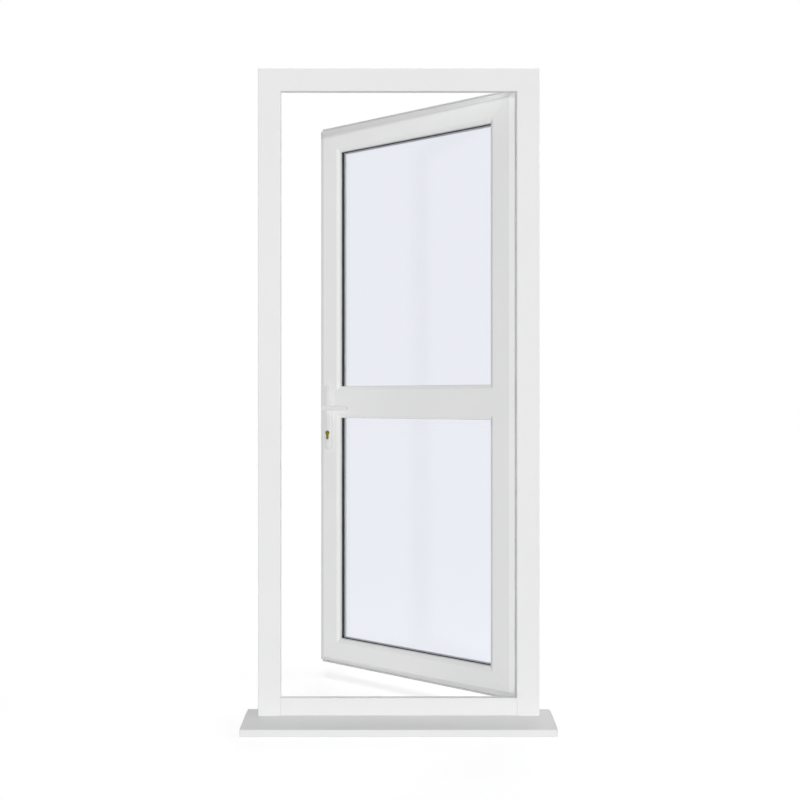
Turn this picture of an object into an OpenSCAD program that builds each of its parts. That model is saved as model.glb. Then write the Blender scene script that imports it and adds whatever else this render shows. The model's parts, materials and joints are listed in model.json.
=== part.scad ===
// Glazed hinged door of white plastic profile, in its outer frame on a projecting cill.
// Outside faces -Y, inside +Y, +X is the hinge side and Z = 0 is the underside of the cill.
// The leaf is drawn shut and then swung about its hinge line by open_angle.

/* [Frame] */
// Width of the frame over its outer edges
frame_w = 900; // [820:1:1000]
// Height of the frame above the seat of the cill
frame_h = 2068; // [1960:1:2200]
// Depth of the frame profile from outside to inside
frame_d = 60; // [58:1:70]
// Width of the face of the jambs and the head
frame_face = 73; // [70:1:84]
// Height of the face of the threshold
threshold_face = 57; // [55:1:68]
// How far the outer leg stands past the rebate
leg_reach = 32; // [29:1:34]
// Thickness of the outer leg
leg_t = 16; // [14:1:20]
// Wall of the hollow plastic profiles
wall = 2.8; // [2.2:0.1:3.2]
// Chamfer on the outer edges of the frame
frame_chamfer = 2; // [1:0.5:3]
// Wall of the steel sections inside the profiles
steel_t = 1.5; // [1:0.25:2]
// Diameter of the fixing holes through the jambs
fixing_d = 8; // [6:0.5:10]
// Distance of the end fixing holes from the ends of the jambs
fixing_inset = 180; // [160:5:200]

/* [Cill] */
// How far the cill runs past each side of the frame
cill_ear = 42; // [20:1:80]
// How far the cill stands out in front of the frame
cill_proj = 94; // [60:1:120]
// Height of the nose of the cill
cill_nose = 23; // [20:1:26]
// Height of the seat that the frame stands on
cill_seat = 32; // [30:1:40]
// Thickness of the caps on the ends of the cill
cap_t = 3; // [2:0.5:5]

/* [Leaf] */
// Angle that the leaf stands open at
open_angle = 32.5; // [0:0.5:95]
// Gap from the edge of the leaf to the rebate of the frame
leaf_gap = 12; // [11:0.5:13]
// Gap between the faces of leaf and frame, which the seals fill
seal_gap = 4; // [3:0.5:6]
// How far the inside flange stands past the edge of the leaf
flange_reach = 22; // [20:1:24]
// Thickness of the inside flange
flange_t = 16; // [14:1:18]
// Width of the stiles and rails up to the glass
stile_face = 88; // [86:1:100]
// Height of the face of the mid rail
mid_rail_face = 114; // [100:1:130]
// Height of the middle of the mid rail above the underside of the cill
mid_rail_z = 1033; // [950:1:1150]
// Width of the bevel round the outer edge of the leaf
edge_bevel_w = 17; // [8:0.5:18]
// Depth of the bevel round the outer edge of the leaf
edge_bevel_d = 6.5; // [3:0.5:7]
// Width of the bevel round the glass
glass_bevel_w = 11; // [8:0.5:12]
// Depth of the bevel round the glass
glass_bevel_d = 8; // [5:0.5:9]

/* [Glazing] */
// Height of the leg that covers the edge of the glass
glazing_leg = 20; // [18:1:22]
// Thickness of the leg that covers the edge of the glass
glazing_leg_t = 14; // [12:0.5:15]
// Thickness of each pane
pane_t = 4; // [3:0.5:5]
// Width of the cavity between the panes
cavity = 18; // [12:1:20]
// Room between the edge of the glass and the rebate, filled by packers
pane_clear = 5; // [4:0.5:6]
// Thickness of the seals on both sides of the glass
glass_seal_t = 3; // [2:0.5:4]
// How far the seals show past the legs and beads
seal_lip = 1.5; // [1:0.5:4]
// Height of the spacer bar and the sealant behind it
spacer_w = 10; // [8:0.5:12]
// Length of each packer under the glass
packer_l = 100; // [60:5:120]

/* [Hinges] */
// Radius of the knuckles
knuckle_r = 9; // [8:0.5:10]
// Length of the middle knuckle, which turns with the leaf
knuckle_l = 40; // [30:1:50]
// Height of a whole hinge
hinge_h = 92; // [86:1:110]
// Thickness of the hinge plates
hinge_plate_t = 3; // [2.5:0.5:4]
// Radius of the hinge pins
hinge_pin_r = 4; // [3:0.25:4.5]
// Wall of the bushes round the pins
bush_t = 2; // [1:0.25:2.5]
// Distance of the end hinges from the ends of the leaf
hinge_inset = 200; // [150:5:260]

/* [Lock and handles] */
// Distance of the spindle from the edge of the leaf
spindle_inset = 42; // [41:0.5:43]
// Height of the spindle above the underside of the cill
lever_z = 1011; // [980:1:1100]
// Drop from the spindle to the key cylinder
cylinder_drop = 92; // [90:1:96]
// Width of the handle plates
plate_w = 34; // [32:1:38]
// Thickness of the handle plates
plate_t = 10; // [9:0.5:12]
// Height of the handle plates above the spindle
plate_above = 88; // [80:1:100]
// Depth of the handle plates below the key cylinder
plate_below = 64; // [58:1:70]
// Length of the levers from the spindle to the tip
lever_l = 104; // [95:1:130]
// How far the levers stand out from the faces of the leaf
lever_reach = 38; // [36:1:50]
// Thickness of the levers
lever_t = 12; // [10:0.5:14]
// Radius of the lever necks
neck_r = 9.5; // [9:0.25:12]
// Width across the flats of the spindle
spindle_w = 8; // [7:0.5:9]
// How far the latch stands out of the faceplate
latch_throw = 12; // [10:0.5:12.5]
// How far the deadbolt is thrown
bolt_throw = 20; // [16:0.5:21]
// How far the drive bar travels
bar_travel = 20; // [16:1:22]
// Height of the lower hook above the underside of the cill
hook_low_z = 400; // [330:5:480]
// Height of the upper hook above the underside of the cill
hook_high_z = 1600; // [1500:5:1700]
// Length of the hooks from pivot to tip
hook_l = 39; // [38:0.5:40]
// Thickness of the keeps
keep_t = 6; // [5:0.5:7]

/* [Hidden] */
$fn = 48;
fit = 0.3;
slide = 0.06;
snug = 0.02;
past = 1;
white = "#f1f2f0";
dark = "#26282a";
seal_grey = "#d2d4d6";
steel = "#a9adb1";
brass = "#b39a4a";
metal = "#c9ccd0";

// Frame lines
frame_x = frame_w / 2;
seat_z = cill_seat;
top_z = cill_seat + frame_h;
jamb_base = frame_face - leg_reach;
threshold_base = threshold_face - leg_reach;
rebate_x = frame_x - jamb_base;
fixing_y = (leg_t + frame_d - wall) / 2;
fixing_step = (frame_h - 2 * fixing_inset) / 3;
fixing_zs = [for (i = [0 : 3]) seat_z + fixing_inset + i * fixing_step];
steel_foot = 10;
seal_w = 7;
seal_in = 2;

// Leaf lines, with the leaf shut
leaf_x = rebate_x - leaf_gap;
leaf_y = leg_t + seal_gap;
leaf_d = frame_d + flange_t - leg_t;
leaf_low = seat_z + threshold_base + leaf_gap;
leaf_high = top_z - jamb_base - leaf_gap;
inside_y = leaf_y + leaf_d;
glazing_base = stile_face - glazing_leg;
groove_d = 7;
groove_w = 16.6;
lock_b = (edge_bevel_d + leaf_d - flange_t) / 2;
lock_y = leaf_y + lock_b;
steel_in = groove_d + wall + fit;

// Glass, measured in depth from the outside face of the leaf
glass_b = glazing_leg_t + glass_seal_t;
unit_t = 2 * pane_t + cavity;
bead_b = glass_b + unit_t + glass_seal_t;
bead_w = glazing_leg + seal_lip - past;
bead_lip = 4;
bead_top = 8;
pane_x = leaf_x - glazing_base - pane_clear;
upper_low = mid_rail_z + mid_rail_face / 2 - glazing_leg;
upper_high = leaf_high - glazing_base;
lower_low = leaf_low + glazing_base;
lower_high = mid_rail_z - mid_rail_face / 2 + glazing_leg;
bays = [[lower_low, lower_high], [upper_low, upper_high]];
sealant_w = 3;
packer_x = 200;

// Hinges
hinge_clear = 2;
hinge_x = leaf_x + flange_reach + hinge_clear + knuckle_r;
hinge_y = frame_d + hinge_plate_t + fit + knuckle_r;
hinge_zs = [leaf_low + hinge_inset, (leaf_low + leaf_high) / 2, leaf_high - hinge_inset];
flag_w = 36;
pin_head_h = 3;

// Lock, measured from the lock edge of the leaf
spindle_x = spindle_inset - leaf_x;
cylinder_z = lever_z - cylinder_drop;
faceplate_a = 1;
faceplate_t = 3;
faceplate_w = 16;
bar_a = faceplate_a + faceplate_t + fit;
bar_t = 2.5;
bar_w = 15.4;
bar_ends = 70;
latch_up = 22;
latch_z = lever_z + latch_up;
latch_h = 16;
latch_w = 11;
notch_before = 6;
notch_after = 4;
latch_lug = 2.5;
latch_end = spindle_inset + notch_after + latch_lug;
follower_r = neck_r + 2;
finger_h = 18;
finger_w = 6;
bolt_up = 45;
bolt_z = cylinder_z + bolt_up;
bolt_h = 20;
bolt_w = 10;
case_a = groove_d + fit;
case_t = 15;
case_wall = 1.5;
case_end = latch_end + latch_throw + 2 * fit + case_wall;
case_below = 40;
case_above = 45;
case_low = cylinder_z - case_below;
case_high = lever_z + case_above;
screw_r = 2.5;
screw_head_h = 2;
keep_w = 24;
keep_slot_w = 8;

// Hooks
hook_a = 22;
hook_t = 6;
hook_arm = 10;
beak = 7;
beak_t = 3.6;
hook_pin_r = 3;
hook_hub_r = 8;
hook_zs = [hook_low_z, hook_high_z];
hook_down = 6;
hook_up = hook_l + past;
hook_case_end = hook_a + hook_hub_r + 2 * case_wall;

// Key cylinder and handles
cylinder_r = 8.5;
cylinder_neck_r = 5.1;
cylinder_leg = 19.5;
cylinder_proud = 1.5;
body_low = leaf_y - plate_t - cylinder_proud;
body_high = inside_y + plate_t + cylinder_proud;
plug_r = 6.5;
cam_r = 15.3;
cam_t = 10;
key_w = 1.8;
key_h = 8;
key_l = 20;
plate_l = plate_above + cylinder_drop + plate_below;
plate_crown_r = 1.3 * plate_w;
lever_crown_r = 1.3 * neck_r;
lever_tip_r = 0.85 * neck_r;
spindle_end = lever_reach - lever_t - 2 * past;

// Swings its children with the leaf
module in_leaf() {
    translate([hinge_x, hinge_y, 0])
        rotate([0, 0, -open_angle])
            translate([-hinge_x, -hinge_y, 0])
                children();
}

// Moves its children to the lock edge of the leaf: X runs into the leaf, Y from outside to inside
module at_lock() {
    in_leaf()
        translate([-leaf_x, leaf_y, 0])
            children();
}

// Stands its children on a face of the leaf at the spindle, with their Z pointing out of the leaf
module on_face(inside) {
    in_leaf()
        translate([spindle_x, inside ? inside_y : leaf_y, lever_z])
            mirror([0, inside ? 1 : 0, 0])
                rotate([90, 0, 0])
                    children();
}

module block(low, high) {
    translate(low)
        cube(high - low);
}

// A flat outline in X and Z, drawn from y_low to y_high
module plate_y(y_low, y_high) {
    translate([0, y_high, 0])
        rotate([90, 0, 0])
            linear_extrude(y_high - y_low)
                children();
}

// A section whose first axis runs in from a side edge, drawn as a post
module upright(side, x_edge, y_front, low, high) {
    translate([side * x_edge, y_front, low])
        mirror([side > 0 ? 1 : 0, 0, 0])
            linear_extrude(high - low)
                children();
}

// A section whose first axis runs in from the top or bottom edge, drawn as a rail
module crosswise(side, z_edge, y_front, x_half) {
    translate([-x_half, y_front, z_edge])
        mirror([0, 0, side > 0 ? 0 : 1])
            rotate([0, 90, 0])
                linear_extrude(2 * x_half)
                    children();
}

// The part of a rectangle that its left or right member fills, mitred at both ends
module side_mitre(side, x_half, low, high, reach, over, gap) {
    plate_y(-frame_d, 3 * frame_d)
        polygon([
            [side * (x_half + over), low - over + gap],
            [side * (x_half + over), high + over - gap],
            [side * (x_half - reach), high - reach - gap],
            [side * (x_half - reach), low + reach + gap]
        ]);
}

// The part of a rectangle that its top or bottom member fills, mitred at both ends
module end_mitre(side, x_half, z_edge, reach, over) {
    plate_y(-frame_d, 3 * frame_d)
        polygon([
            [-x_half - over, z_edge + side * over],
            [x_half + over, z_edge + side * over],
            [x_half - reach, z_edge - side * reach],
            [-x_half + reach, z_edge - side * reach]
        ]);
}

// A rectangular ring of one width
module ring(x_half, low, high, w, y_low, y_high) {
    difference() {
        block([-x_half, y_low, low], [x_half, y_high, high]);
        block([w - x_half, y_low - past, low + w], [x_half - w, y_high + past, high - w]);
    }
}

module slot_2d(low, high) {
    translate(low)
        square(high - low);
}

// Frame profile: a leg at the outside and a deep main chamber behind it
module frame_outline(face) {
    polygon([
        [0, frame_chamfer],
        [frame_chamfer, 0],
        [face - frame_chamfer, 0],
        [face, frame_chamfer],
        [face, leg_t],
        [face - leg_reach, leg_t],
        [face - leg_reach, frame_d],
        [0, frame_d]
    ]);
}

module frame_profile(face) {
    base = face - leg_reach;
    difference() {
        frame_outline(face);
        slot_2d([wall, wall], [base - wall / 2, leg_t - wall]);
        slot_2d([base + wall / 2, wall], [face - wall, leg_t - wall]);
        slot_2d([wall, leg_t], [base - wall, frame_d - wall]);
    }
}

module frame_steel_section() {
    low = [wall + fit, leg_t + fit];
    high = [jamb_base - wall - fit, frame_d - wall - fit];
    difference() {
        slot_2d(low, high);
        slot_2d(low + [steel_t, steel_t], high - [steel_t, steel_t]);
    }
}

module fixing_holes(side) {
    for (z = fixing_zs)
        translate([side * (rebate_x - past), fixing_y, z])
            rotate([0, side * 90, 0])
                cylinder(d = fixing_d, h = jamb_base + 2 * past);
}

// Pockets behind the keeps for the bolts, measured from the lock edge of the leaf when shut
module keep_pockets() {
    deep = [-(bolt_throw - faceplate_a + past), -leaf_gap + past];
    translate([-leaf_x, lock_y, 0]) {
        block([deep[0], -bolt_w / 2 - fit, bolt_z - bolt_h / 2 - fit],
              [deep[1], bolt_w / 2 + fit, bolt_z + bolt_h / 2 + fit]);
        for (z = hook_zs)
            block([deep[0], -keep_slot_w / 2, z - hook_arm / 2 - beak - past],
                  [deep[1], keep_slot_w / 2, z + hook_up]);
    }
}

module jamb(side) {
    intersection() {
        upright(side, frame_x, 0, seat_z, top_z)
            frame_profile(frame_face);
        side_mitre(side, frame_x, seat_z - 2 * frame_face, top_z, 2 * frame_face, past, 0);
    }
}

module jamb_hinge_side() {
    color(white)
        difference() {
            jamb(1);
            fixing_holes(1);
        }
}

module jamb_lock_side() {
    color(white)
        difference() {
            jamb(-1);
            fixing_holes(-1);
            keep_pockets();
        }
}

module frame_head() {
    color(white)
        intersection() {
            crosswise(1, top_z, 0, frame_x)
                frame_profile(frame_face);
            end_mitre(1, frame_x, top_z, 2 * frame_face, past);
        }
}

// The threshold is cut square between the jambs and notched round their legs
module frame_threshold() {
    color(white)
        difference() {
            crosswise(-1, seat_z, 0, rebate_x)
                frame_profile(threshold_face);
            for (side = [-1, 1])
                upright(side, frame_x, 0, seat_z - past, seat_z + frame_face)
                    slot_2d([jamb_base - past, -past], [frame_face, leg_t]);
        }
}

module frame_steels() {
    color(steel)
        difference() {
            union() {
                for (side = [-1, 1])
                    upright(side, frame_x, 0, seat_z + steel_foot, top_z - frame_face)
                        frame_steel_section();
                crosswise(1, top_z, 0, frame_x - frame_face)
                    frame_steel_section();
            }
            for (side = [-1, 1])
                fixing_holes(side);
            keep_pockets();
        }
}

module frame_seal() {
    out = frame_face - seal_in - seal_w;
    color(seal_grey)
        ring(frame_x - out, seat_z + threshold_face - seal_in - seal_w, top_z - out,
             seal_w, leg_t, leg_t + seal_gap - fit);
}

// Cill: a sloping hollow board with a square nose
function cill_top(y) = y > 0 ? cill_seat : cill_seat + y * (cill_seat - cill_nose) / cill_proj;

module cill_outline() {
    drip = 6;
    polygon([
        [-cill_proj, frame_chamfer],
        [-cill_proj, cill_nose - frame_chamfer],
        [frame_chamfer - cill_proj, cill_top(frame_chamfer - cill_proj)],
        [0, cill_seat],
        [frame_d, cill_seat],
        [frame_d, 0],
        [3 * drip - cill_proj, 0],
        [3 * drip - cill_proj, wall],
        [2 * drip - cill_proj, wall],
        [2 * drip - cill_proj, 0],
        [frame_chamfer - cill_proj, 0]
    ]);
}

module cill_chamber(y_low, y_high) {
    floor_z = 2 * wall;
    polygon([
        [y_low, floor_z],
        [y_low, cill_top(y_low) - wall],
        [y_high, cill_top(y_high) - wall],
        [y_high, floor_z]
    ]);
}

module along_cill(x_low, x_high) {
    translate([x_low, 0, 0])
        rotate([90, 0, 90])
            linear_extrude(x_high - x_low)
                children();
}

module cill() {
    half = frame_x + cill_ear - cap_t;
    color(white)
        along_cill(-half, half)
            difference() {
                cill_outline();
                cill_chamber(wall - cill_proj, -cill_proj / 2 - wall / 2);
                cill_chamber(-cill_proj / 2 + wall / 2, -wall);
                cill_chamber(0, frame_d / 2 - wall / 2);
                cill_chamber(frame_d / 2 + wall / 2, frame_d - wall);
            }
}

module cill_cap(side) {
    inner = frame_x + cill_ear - cap_t;
    color(white)
        along_cill(side > 0 ? inner : -inner - cap_t, side > 0 ? inner + cap_t : -inner)
            cill_outline();
}

module cill_cap_left() {
    cill_cap(-1);
}

module cill_cap_right() {
    cill_cap(1);
}

// Keeps stand on the rebate of the lock jamb
module keep(low, high) {
    color(metal)
        translate([-rebate_x, lock_y, 0])
            difference() {
                block([0, -keep_w / 2, low], [keep_t, keep_w / 2, high]);
                children();
            }
}

module keep_slot(w, low, high) {
    block([-past, -w / 2, low], [keep_t + past, w / 2, high]);
}

module keep_centre() {
    margin = 24;
    keep(bolt_z - bolt_h / 2 - margin, latch_z + latch_h / 2 + margin) {
        keep_slot(bolt_w + 2, bolt_z - bolt_h / 2 - past, bolt_z + bolt_h / 2 + past);
        keep_slot(latch_w + 2, latch_z - latch_h / 2 - past, latch_z + latch_h / 2 + past);
    }
}

module keep_hook(z) {
    margin = 18;
    keep(z - hook_down - margin, z + hook_up + margin)
        keep_slot(keep_slot_w, z - hook_down, z + hook_up);
}

module keep_hook_lower() {
    keep_hook(hook_low_z);
}

module keep_hook_upper() {
    keep_hook(hook_high_z);
}

// Hinges: a plate with two knuckles on the frame, a flag with one on the leaf, and a pin
module hinge_plate(z) {
    color(white)
        translate([hinge_x, 0, z])
            difference() {
                union() {
                    block([-knuckle_r, frame_d, -hinge_h / 2],
                          [frame_x - hinge_x - hinge_clear, frame_d + hinge_plate_t, hinge_h / 2]);
                    for (end = [-1, 1])
                        translate([0, 0, end * (hinge_h + knuckle_l) / 4]) {
                            length = (hinge_h - knuckle_l) / 2;
                            translate([0, hinge_y, 0])
                                cylinder(r = knuckle_r, h = length, center = true);
                            block([-knuckle_r / 2, frame_d + hinge_plate_t, -length / 2],
                                  [knuckle_r, hinge_y, length / 2]);
                        }
                }
                translate([0, hinge_y, 0])
                    cylinder(r = hinge_pin_r + snug, h = hinge_h + 2 * past, center = true);
            }
}

module hinge_plate_lower() {
    hinge_plate(hinge_zs[0]);
}

module hinge_plate_middle() {
    hinge_plate(hinge_zs[1]);
}

module hinge_plate_upper() {
    hinge_plate(hinge_zs[2]);
}

module hinge_pins() {
    color(steel)
        for (z = hinge_zs)
            translate([hinge_x, hinge_y, z]) {
                cylinder(r = hinge_pin_r, h = hinge_h, center = true);
                translate([0, 0, hinge_h / 2])
                    cylinder(r1 = knuckle_r, r2 = knuckle_r - pin_head_h / 2, h = pin_head_h);
            }
}

module hinge_flag(z) {
    barrel = knuckle_l - 2 * fit;
    top = inside_y + hinge_plate_t;
    color(white)
        in_leaf()
            translate([hinge_x, 0, z])
                difference() {
                    union() {
                        translate([0, hinge_y, 0])
                            cylinder(r = knuckle_r, h = barrel, center = true);
                        block([-knuckle_r - hinge_clear - flag_w, inside_y, -hinge_h / 2],
                              [-knuckle_r - hinge_clear, top, hinge_h / 2]);
                        block([-knuckle_r - hinge_clear - past, inside_y, -barrel / 2], [0, top, barrel / 2]);
                        block([-knuckle_r / 2, hinge_y, -barrel / 2], [0, top, barrel / 2]);
                    }
                    translate([0, hinge_y, 0])
                        cylinder(r = hinge_pin_r + bush_t + snug, h = hinge_h, center = true);
                }
}

module hinge_flag_lower() {
    hinge_flag(hinge_zs[0]);
}

module hinge_flag_middle() {
    hinge_flag(hinge_zs[1]);
}

module hinge_flag_upper() {
    hinge_flag(hinge_zs[2]);
}

module hinge_bushes() {
    color(dark)
        in_leaf()
            for (z = hinge_zs)
                translate([hinge_x, hinge_y, z])
                    difference() {
                        cylinder(r = hinge_pin_r + bush_t, h = knuckle_l - 2 * fit, center = true);
                        cylinder(r = hinge_pin_r + slide, h = knuckle_l, center = true);
                    }
}

// Leaf profile: bevelled outside face, glazing leg, inside flange and a groove for the lock
module leaf_outline() {
    polygon([
        [0, edge_bevel_d],
        [edge_bevel_w, 0],
        [stile_face - glass_bevel_w, 0],
        [stile_face, glass_bevel_d],
        [stile_face, glazing_leg_t],
        [glazing_base, glazing_leg_t],
        [glazing_base, leaf_d],
        [-flange_reach, leaf_d],
        [-flange_reach, leaf_d - flange_t],
        [0, leaf_d - flange_t]
    ]);
}

module leaf_profile() {
    difference() {
        leaf_outline();
        slot_2d([-past, lock_b - groove_w / 2], [groove_d, lock_b + groove_w / 2]);
        slot_2d([edge_bevel_w, wall], [glazing_base - wall / 2, glazing_leg_t - wall]);
        slot_2d([glazing_base + wall / 2, wall], [stile_face - glass_bevel_w, glazing_leg_t - wall]);
        slot_2d([groove_d + wall, glazing_leg_t], [glazing_base - wall, leaf_d - wall]);
        slot_2d([wall - flange_reach, leaf_d - flange_t + wall], [groove_d, leaf_d - wall]);
    }
}

// Steel channel, open towards the edge of the leaf so that the lock can stand inside it
module leaf_steel_section() {
    low = [steel_in, glazing_leg_t + fit];
    high = [glazing_base - wall - fit, leaf_d - wall - fit];
    difference() {
        slot_2d(low, high);
        slot_2d(low + [-past, steel_t], high - [steel_t, steel_t]);
    }
}

module mid_rail_outline() {
    polygon([
        [0, glass_bevel_d],
        [glass_bevel_w, 0],
        [mid_rail_face - glass_bevel_w, 0],
        [mid_rail_face, glass_bevel_d],
        [mid_rail_face, glazing_leg_t],
        [mid_rail_face - glazing_leg, glazing_leg_t],
        [mid_rail_face - glazing_leg, leaf_d],
        [glazing_leg, leaf_d],
        [glazing_leg, glazing_leg_t],
        [0, glazing_leg_t]
    ]);
}

module mid_rail_profile() {
    far = mid_rail_face - glazing_leg;
    difference() {
        mid_rail_outline();
        slot_2d([glass_bevel_w, wall], [glazing_leg - wall / 2, glazing_leg_t - wall]);
        slot_2d([glazing_leg + wall / 2, wall], [far - wall / 2, glazing_leg_t - wall]);
        slot_2d([far + wall / 2, wall], [mid_rail_face - glass_bevel_w, glazing_leg_t - wall]);
        slot_2d([glazing_leg + wall, glazing_leg_t], [far - wall, leaf_d - wall]);
    }
}

module mid_rail_steel_section() {
    low = [glazing_leg + wall + fit, glazing_leg_t + fit];
    high = [mid_rail_face - glazing_leg - wall - fit, leaf_d - wall - fit];
    difference() {
        slot_2d(low, high);
        slot_2d(low + [steel_t, steel_t], high - [steel_t, steel_t]);
    }
}

// The keyhole outline of the lock cylinder, centred on the plug
module cylinder_2d(grow) {
    circle(r = cylinder_r + grow);
    slot_2d([-cylinder_neck_r - grow, -cylinder_leg], [cylinder_neck_r + grow, 0]);
    translate([0, -cylinder_leg])
        circle(r = cylinder_neck_r + grow);
}

module handle_screw_places() {
    for (y = [plate_above - plate_w / 2, plate_w / 2 - cylinder_drop - plate_below])
        translate([0, y])
            children();
}

// Everything that is cut through the lock stile and its steel for the lock
module lock_cuts() {
    plate_y(leaf_y - past, inside_y + past)
        translate([spindle_x, lever_z]) {
            circle(r = neck_r);
            translate([0, -cylinder_drop])
                cylinder_2d(fit);
            handle_screw_places()
                circle(r = screw_r + past);
        }
    translate([-leaf_x, lock_y, 0]) {
        half = case_t / 2 + fit;
        block([0, -half, case_low - fit], [case_end + fit, half, case_high + fit]);
        for (z = hook_zs)
            block([0, -half, hook_case_low(z) - fit], [hook_case_end + fit, half, hook_case_high(z) + fit]);
    }
}

module stile(side) {
    intersection() {
        upright(side, leaf_x, leaf_y, leaf_low - 2 * flange_reach, leaf_high + 2 * flange_reach)
            leaf_profile();
        side_mitre(side, leaf_x, leaf_low, leaf_high, stile_face + past, flange_reach + past, 0);
    }
}

module stile_hinge_side() {
    color(white)
        in_leaf()
            stile(1);
}

module stile_lock_side() {
    color(white)
        in_leaf()
            difference() {
                stile(-1);
                lock_cuts();
            }
}

module rail(side, z_edge) {
    color(white)
        in_leaf()
            intersection() {
                crosswise(side, z_edge, leaf_y, leaf_x + 2 * flange_reach)
                    leaf_profile();
                end_mitre(side, leaf_x, z_edge, stile_face + past, flange_reach + past);
            }
}

module rail_top() {
    rail(1, leaf_high);
}

module rail_bottom() {
    rail(-1, leaf_low);
}

// The mid rail is scribed to the section of the stiles at both ends
module rail_middle() {
    color(white)
        in_leaf()
            difference() {
                crosswise(1, mid_rail_z + mid_rail_face / 2, leaf_y, leaf_x - glazing_base)
                    mid_rail_profile();
                for (side = [-1, 1])
                    upright(side, leaf_x, leaf_y, mid_rail_z - mid_rail_face, mid_rail_z + mid_rail_face)
                        leaf_outline();
            }
}

module leaf_steels() {
    inner_x = leaf_x - glazing_base;
    color(steel)
        in_leaf()
            difference() {
                union() {
                    for (side = [-1, 1]) {
                        upright(side, leaf_x, leaf_y, leaf_low + glazing_base, leaf_high - glazing_base)
                            leaf_steel_section();
                        crosswise(side, side > 0 ? leaf_high : leaf_low, leaf_y, inner_x)
                            leaf_steel_section();
                    }
                    crosswise(1, mid_rail_z + mid_rail_face / 2, leaf_y, inner_x - fit)
                        mid_rail_steel_section();
                }
                lock_cuts();
            }
}

module leaf_seal() {
    edge = flange_reach - seal_in;
    color(seal_grey)
        in_leaf()
            ring(leaf_x + edge, leaf_low - edge, leaf_high + edge,
                 seal_w - past, frame_d + fit, frame_d + seal_gap);
}

// Sealed units: two panes with a spacer ring between them
module pane(bay, b) {
    color("#c9d6d6", 0.35)
        in_leaf()
            block([-pane_x, leaf_y + b, bay[0] + pane_clear],
                  [pane_x, leaf_y + b + pane_t, bay[1] - pane_clear]);
}

module spacer(bay) {
    b = leaf_y + glass_b + pane_t;
    inset = pane_clear + sealant_w;
    color(dark)
        in_leaf()
            ring(pane_x - sealant_w, bay[0] + inset, bay[1] - inset, spacer_w, b, b + cavity);
}

module lower_pane_outside() {
    pane(bays[0], glass_b);
}

module lower_spacer() {
    spacer(bays[0]);
}

module lower_pane_inside() {
    pane(bays[0], glass_b + pane_t + cavity);
}

module upper_pane_outside() {
    pane(bays[1], glass_b);
}

module upper_spacer() {
    spacer(bays[1]);
}

module upper_pane_inside() {
    pane(bays[1], glass_b + pane_t + cavity);
}

// Outside seals lie behind the glazing legs, and their lips wrap the ends of the legs
module outside_glazing_seals() {
    under = glazing_leg / 2;
    lip_b = (glass_bevel_d + glazing_leg_t) / 2;
    sight_x = leaf_x - stile_face;
    color(seal_grey)
        in_leaf()
            for (bay = bays) {
                low = bay[0] + glazing_leg;
                high = bay[1] - glazing_leg;
                ring(sight_x + under, low - under, high + under, under + seal_lip,
                     leaf_y + glazing_leg_t, leaf_y + glass_b);
                ring(sight_x, low, high, seal_lip, leaf_y + lip_b, leaf_y + glass_b);
            }
}

module inside_glazing_seals() {
    out = leaf_x - glazing_base - glazing_leg / 2;
    b = leaf_y + bead_b - glass_seal_t;
    color(seal_grey)
        in_leaf()
            for (bay = bays)
                ring(out, bay[0] + glazing_leg / 2, bay[1] - glazing_leg / 2,
                     glazing_leg / 2 + seal_lip, b, b + glass_seal_t);
}

module bead_section() {
    polygon([
        [0, bead_b],
        [bead_w, bead_b],
        [bead_w, bead_b + bead_lip],
        [bead_top, leaf_d],
        [0, leaf_d]
    ]);
}

// Four beads with hairline mitres hold each unit from the inside
module beads(bay) {
    x_half = leaf_x - glazing_base;
    hairline = fit / 2;
    color(white)
        in_leaf()
            for (side = [-1, 1]) {
                intersection() {
                    upright(side, x_half, leaf_y, bay[0], bay[1])
                        bead_section();
                    side_mitre(side, x_half, bay[0], bay[1], bead_w + past, past, hairline);
                }
                intersection() {
                    crosswise(side, side > 0 ? bay[1] : bay[0], leaf_y, x_half)
                        bead_section();
                    end_mitre(side, x_half, side > 0 ? bay[1] : bay[0], bead_w + past, past);
                }
            }
}

module lower_beads() {
    beads(bays[0]);
}

module upper_beads() {
    beads(bays[1]);
}

module glazing_packers() {
    color("#4a6fa0")
        in_leaf()
            for (bay = bays, x = [-packer_x, packer_x])
                block([x - packer_l / 2, leaf_y + glass_b, bay[0]],
                      [x + packer_l / 2, leaf_y + glass_b + unit_t, bay[0] + pane_clear]);
}

// Handle plates are long crowned ovals
module plate_outline() {
    top = plate_above - plate_w / 2;
    bottom = plate_w / 2 - cylinder_drop - plate_below;
    slot_2d([-plate_w / 2, bottom], [plate_w / 2, top]);
    for (y = [top, bottom])
        translate([0, y])
            circle(d = plate_w, $fn = 64);
}

module handle_plate(blind) {
    color(white)
        difference() {
            intersection() {
                linear_extrude(plate_t)
                    plate_outline();
                translate([0, 0, plate_t - plate_crown_r])
                    rotate([90, 0, 0])
                        cylinder(r = plate_crown_r, h = 4 * plate_l, center = true, $fn = 160);
            }
            translate([0, 0, -past])
                cylinder(r = neck_r + slide, h = plate_t + 2 * past);
            translate([0, -cylinder_drop, -past])
                linear_extrude(plate_t + 2 * past)
                    cylinder_2d(fit);
            handle_screw_places()
                translate([0, 0, -past])
                    cylinder(r = screw_r + slide, h = (blind ? plate_t / 2 : plate_t) + 2 * past);
        }
}

module handle_plate_outside() {
    on_face(false)
        handle_plate(true);
}

module handle_plate_inside() {
    on_face(true)
        handle_plate(false);
}

module handle_screws() {
    color(steel)
        on_face(true)
            handle_screw_places() {
                translate([0, 0, -leaf_d - plate_t / 2])
                    cylinder(r = screw_r, h = leaf_d + 1.5 * plate_t);
                translate([0, 0, plate_t])
                    cylinder(r1 = 2 * screw_r, r2 = 1.5 * screw_r, h = past);
            }
}

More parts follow.
